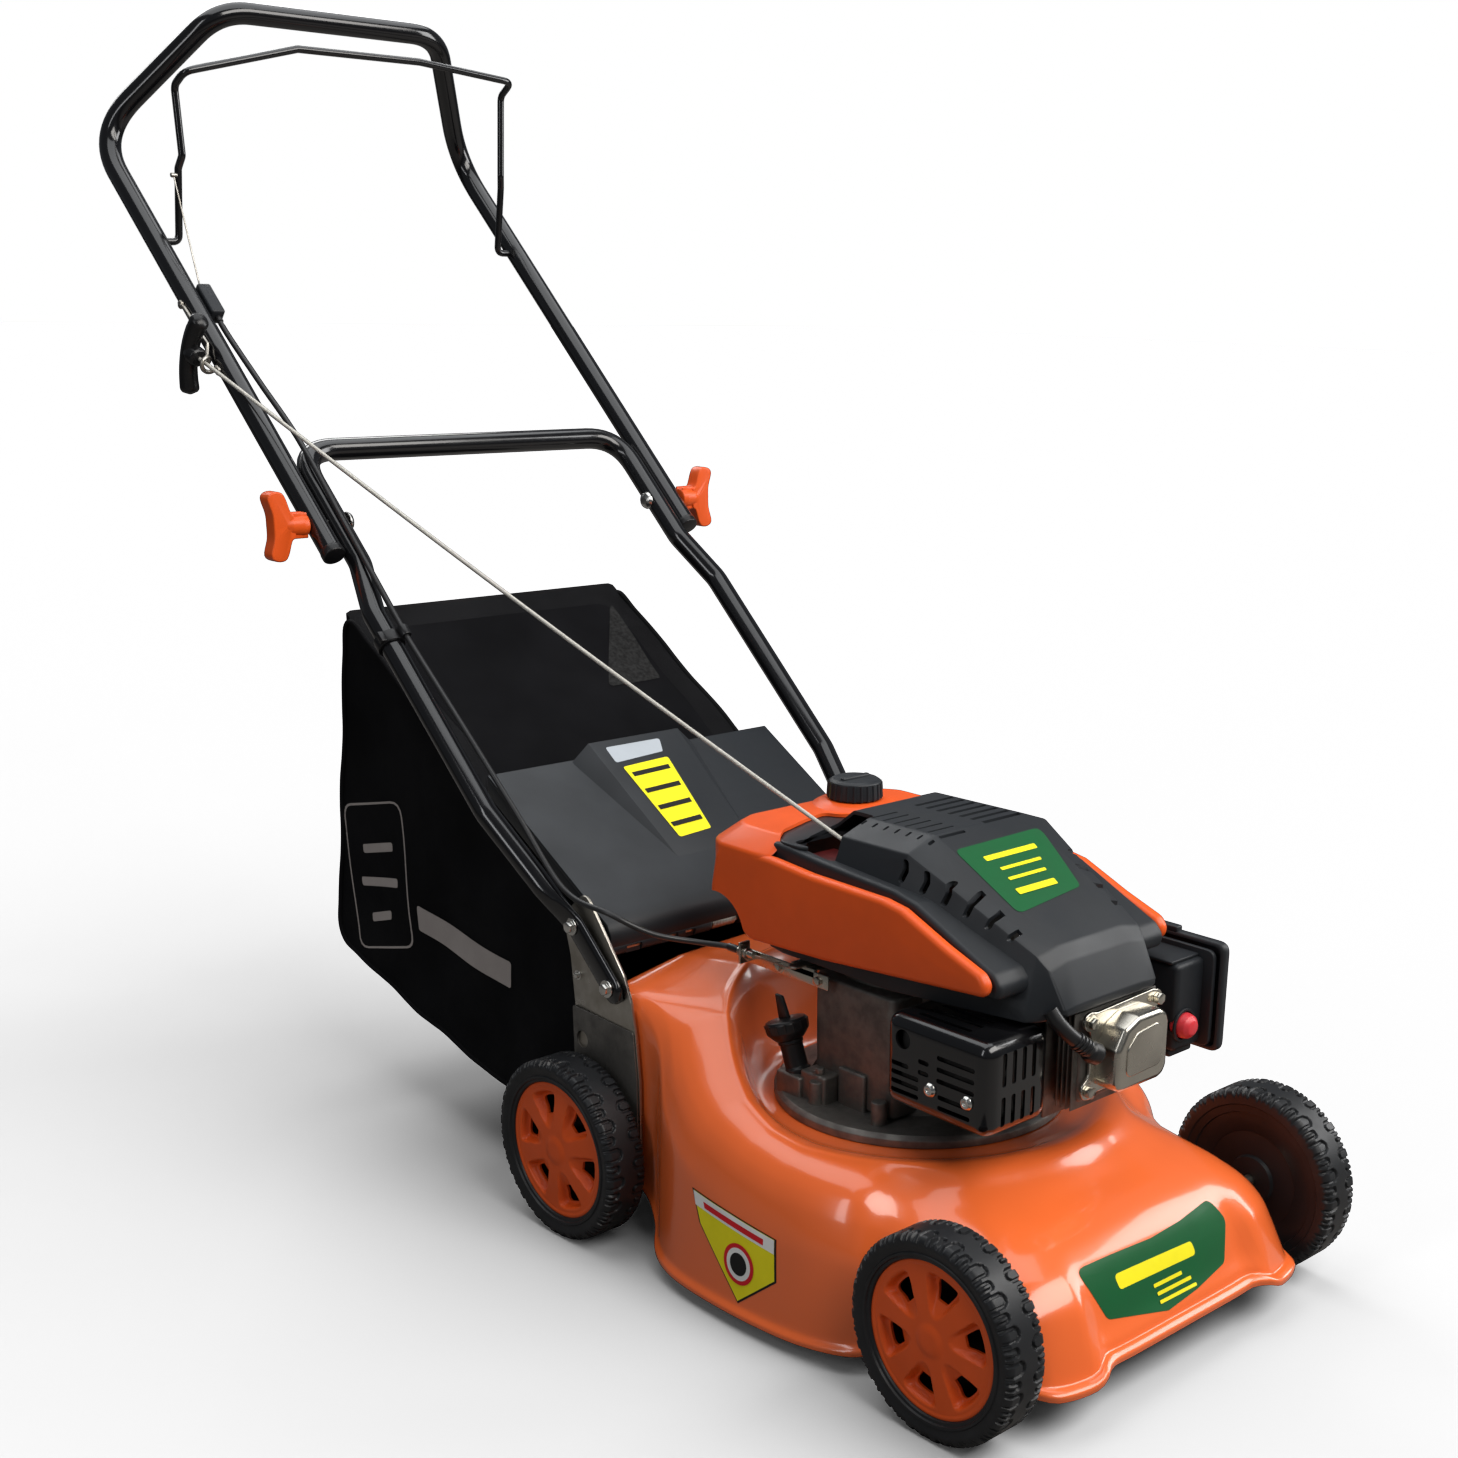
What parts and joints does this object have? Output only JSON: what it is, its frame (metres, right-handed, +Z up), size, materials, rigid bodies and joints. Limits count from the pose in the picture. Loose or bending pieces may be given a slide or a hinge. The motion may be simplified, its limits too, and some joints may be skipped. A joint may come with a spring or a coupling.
{
  "type": "push lawn mower",
  "caption": "Walk-behind petrol lawn mower with a pressed steel deck, a small vertical-shaft engine, a folding handle with a bail lever and a rear grass bag.",
  "frame": {"origin": "on the ground, under the middle of the whole object's box", "axes": "-Y is forward (cutting direction), +Y is towards the handle and the operator, +X is the operator's left, +Z is up"},
  "size_m": [0.55, 1.3402, 1.1287],
  "materials": {
    "orange_paint": "glossy orange enamel on pressed steel",
    "orange_plastic": "semi-gloss moulded plastic",
    "black_enamel": "glossy black enamel",
    "wheel_plastic": "matt moulded plastic with a dull sheen",
    "black_plastic": "matt, finely textured moulded plastic",
    "zinc_steel": "zinc plated steel",
    "bolt_steel": "bright plated steel",
    "blade_steel": "black coated spring steel",
    "cast_aluminium": "sand-textured die casting",
    "cast_iron": "dark casting",
    "plated_steel": "bright pressed steel",
    "black_rubber": "matt rubber",
    "red_rubber": "soft rubber",
    "cable_jacket": "satin plastic jacket",
    "starter_cord": "braided cord",
    "bag_fabric": "woven black fabric with a mesh top",
    "filter_foam": "open cell foam"
  },
  "bodies": {
    "root": {"deck": "orange_paint", "bracket_right": "zinc_steel", "bracket_left": "zinc_steel", "axle_front": "zinc_steel", "axle_rear": "zinc_steel", "lower_handle": "black_enamel", "bracket_bolt_low_right": "bolt_steel", "bracket_bolt_high_right": "bolt_steel", "bracket_bolt_low_left": "bolt_steel", "bracket_bolt_high_left": "bolt_steel", "handle_bolt_right": "bolt_steel", "handle_bolt_left": "bolt_steel", "flap_rod": "zinc_steel", "engine_base": "cast_aluminium", "cylinder": "cast_aluminium", "valve_cover": "plated_steel", "muffler_guard": "black_enamel", "top_cover": "black_plastic", "side_shroud": "orange_plastic", "fuel_tank": "black_plastic", "air_filter_box": "black_plastic", "filter_foam": "filter_foam", "carburettor": "cast_aluminium", "oil_filler": "black_plastic", "spark_boot": "black_rubber", "cable_bracket": "zinc_steel", "cable_clip": "black_plastic", "brake_cable": "cable_jacket", "starter_rope": "starter_cord"},
    "upper_handle_body": {"upper_handle": "black_enamel", "cable_stop": "black_plastic", "rope_guide": "zinc_steel", "brake_wire": "zinc_steel"},
    "bail": {"bail_lever": "black_enamel"},
    "starter": {"starter_grip": "black_plastic", "rope_core": "starter_cord"},
    "recoil": {"recoil_reel": "black_plastic"},
    "brake": {"brake_lever": "zinc_steel"},
    "rotor": {"crankshaft": "zinc_steel", "flywheel": "cast_aluminium", "blade": "blade_steel", "blade_adapter": "cast_iron", "blade_bolt": "bolt_steel"},
    "wheel_fr": {"wheel_front_right": "wheel_plastic", "wheel_cover_front_right": "orange_plastic"},
    "wheel_fl": {"wheel_front_left": "wheel_plastic", "wheel_cover_front_left": "orange_plastic"},
    "wheel_rr": {"wheel_rear_right": "wheel_plastic", "wheel_cover_rear_right": "orange_plastic"},
    "wheel_rl": {"wheel_rear_left": "wheel_plastic", "wheel_cover_rear_left": "orange_plastic"},
    "flap": {"rear_flap": "black_plastic"},
    "catcher": {"catcher_frame": "zinc_steel", "catcher_bag": "bag_fabric"},
    "primer": {"primer_bulb": "red_rubber"},
    "cap": {"fuel_cap": "black_plastic"},
    "oil_cap": {"dipstick": "black_plastic"},
    "filter_lid": {"air_filter_lid": "black_plastic"},
    "knob_r": {"knob_right": "orange_plastic"},
    "knob_l": {"knob_left": "orange_plastic"}
  },
  "joints": [
    {"name": "handle_fold", "type": "hinge", "parent": "root", "child": "upper_handle_body", "pos_m": [0, 0.28187, 0.63013], "axis": [1, 0, 0], "range_deg": [0, 135], "deforming": ["starter_rope", "rope_core", "brake_cable"]},
    {"name": "bail_squeeze", "type": "hinge", "parent": "upper_handle_body", "child": "bail", "pos_m": [0, 0.56585, 0.8905], "axis": [-1, 0, 0], "range_deg": [0, 13], "stiffness_Nm_per_rad": 9, "deforming": ["brake_wire"]},
    {"name": "brake_lever_swing", "type": "hinge", "parent": "root", "child": "brake", "pos_m": [-0.088, -0.29415, 0.2927], "axis": [0, 0, -1], "range_deg": [0, 36]},
    {"name": "starter_pull", "type": "slide", "parent": "upper_handle_body", "child": "starter", "axis": [-0.2081, 0.8754, 0.4364], "range_m": [0, 0.6], "stiffness_N_per_m": 22},
    {"name": "recoil_wind", "type": "hinge", "parent": "root", "child": "recoil", "pos_m": [0, -0.34415, 0.372], "axis": [0, 0, 1], "range_deg": [0, 1150]},
    {"name": "rotor_spin", "type": "hinge", "parent": "root", "child": "rotor", "pos_m": [0, -0.34415, 0.2], "axis": [0, 0, 1], "continuous": true},
    {"name": "wheel_front_right_spin", "type": "hinge", "parent": "root", "child": "wheel_fr", "pos_m": [-0.215, -0.58265, 0.0875], "axis": [1, 0, 0], "continuous": true},
    {"name": "wheel_front_left_spin", "type": "hinge", "parent": "root", "child": "wheel_fl", "pos_m": [0.215, -0.58265, 0.0875], "axis": [1, 0, 0], "continuous": true},
    {"name": "wheel_rear_right_spin", "type": "hinge", "parent": "root", "child": "wheel_rr", "pos_m": [-0.215, -0.09565, 0.0875], "axis": [1, 0, 0], "continuous": true},
    {"name": "wheel_rear_left_spin", "type": "hinge", "parent": "root", "child": "wheel_rl", "pos_m": [0.215, -0.09565, 0.0875], "axis": [1, 0, 0], "continuous": true},
    {"name": "flap_lift", "type": "hinge", "parent": "root", "child": "flap", "pos_m": [0, -0.11015, 0.277], "axis": [1, 0, 0], "range_deg": [0, 40], "stiffness_Nm_per_rad": 0.8},
    {"name": "catcher_slide", "type": "slide", "parent": "root", "child": "catcher", "axis": [0, 1, 0], "range_m": [0, 0.45]},
    {"name": "primer_press", "type": "slide", "parent": "root", "child": "primer", "axis": [0, 1, 0], "range_m": [0, 0.005], "stiffness_N_per_m": 1500},
    {"name": "fuel_cap_turn", "type": "hinge", "parent": "root", "child": "cap", "pos_m": [0.03, -0.22115, 0.415], "axis": [0, 0, 1], "range_deg": [0, 90]},
    {"name": "oil_cap_turn", "type": "hinge", "parent": "root", "child": "oil_cap", "pos_m": [-0.099, -0.28615, 0.1844], "axis": [-0.0501, 0.3008, 0.9524], "range_deg": [0, 90]},
    {"name": "filter_lid_drop", "type": "hinge", "parent": "root", "child": "filter_lid", "pos_m": [0.15, -0.50315, 0.222], "axis": [0, 1, 0], "range_deg": [0, 95]},
    {"name": "knob_right_turn", "type": "hinge", "parent": "root", "child": "knob_r", "pos_m": [-0.256, 0.28187, 0.63013], "axis": [1, 0, 0], "continuous": true},
    {"name": "knob_left_turn", "type": "hinge", "parent": "root", "child": "knob_l", "pos_m": [0.256, 0.28187, 0.63013], "axis": [1, 0, 0], "continuous": true}
  ],
  "couplings": [
    {"joint": "brake_lever_swing", "follows": "bail_squeeze", "ratio": 2.7},
    {"joint": "recoil_wind", "follows": "starter_pull", "rad_per_m": 33.333}
  ]
}
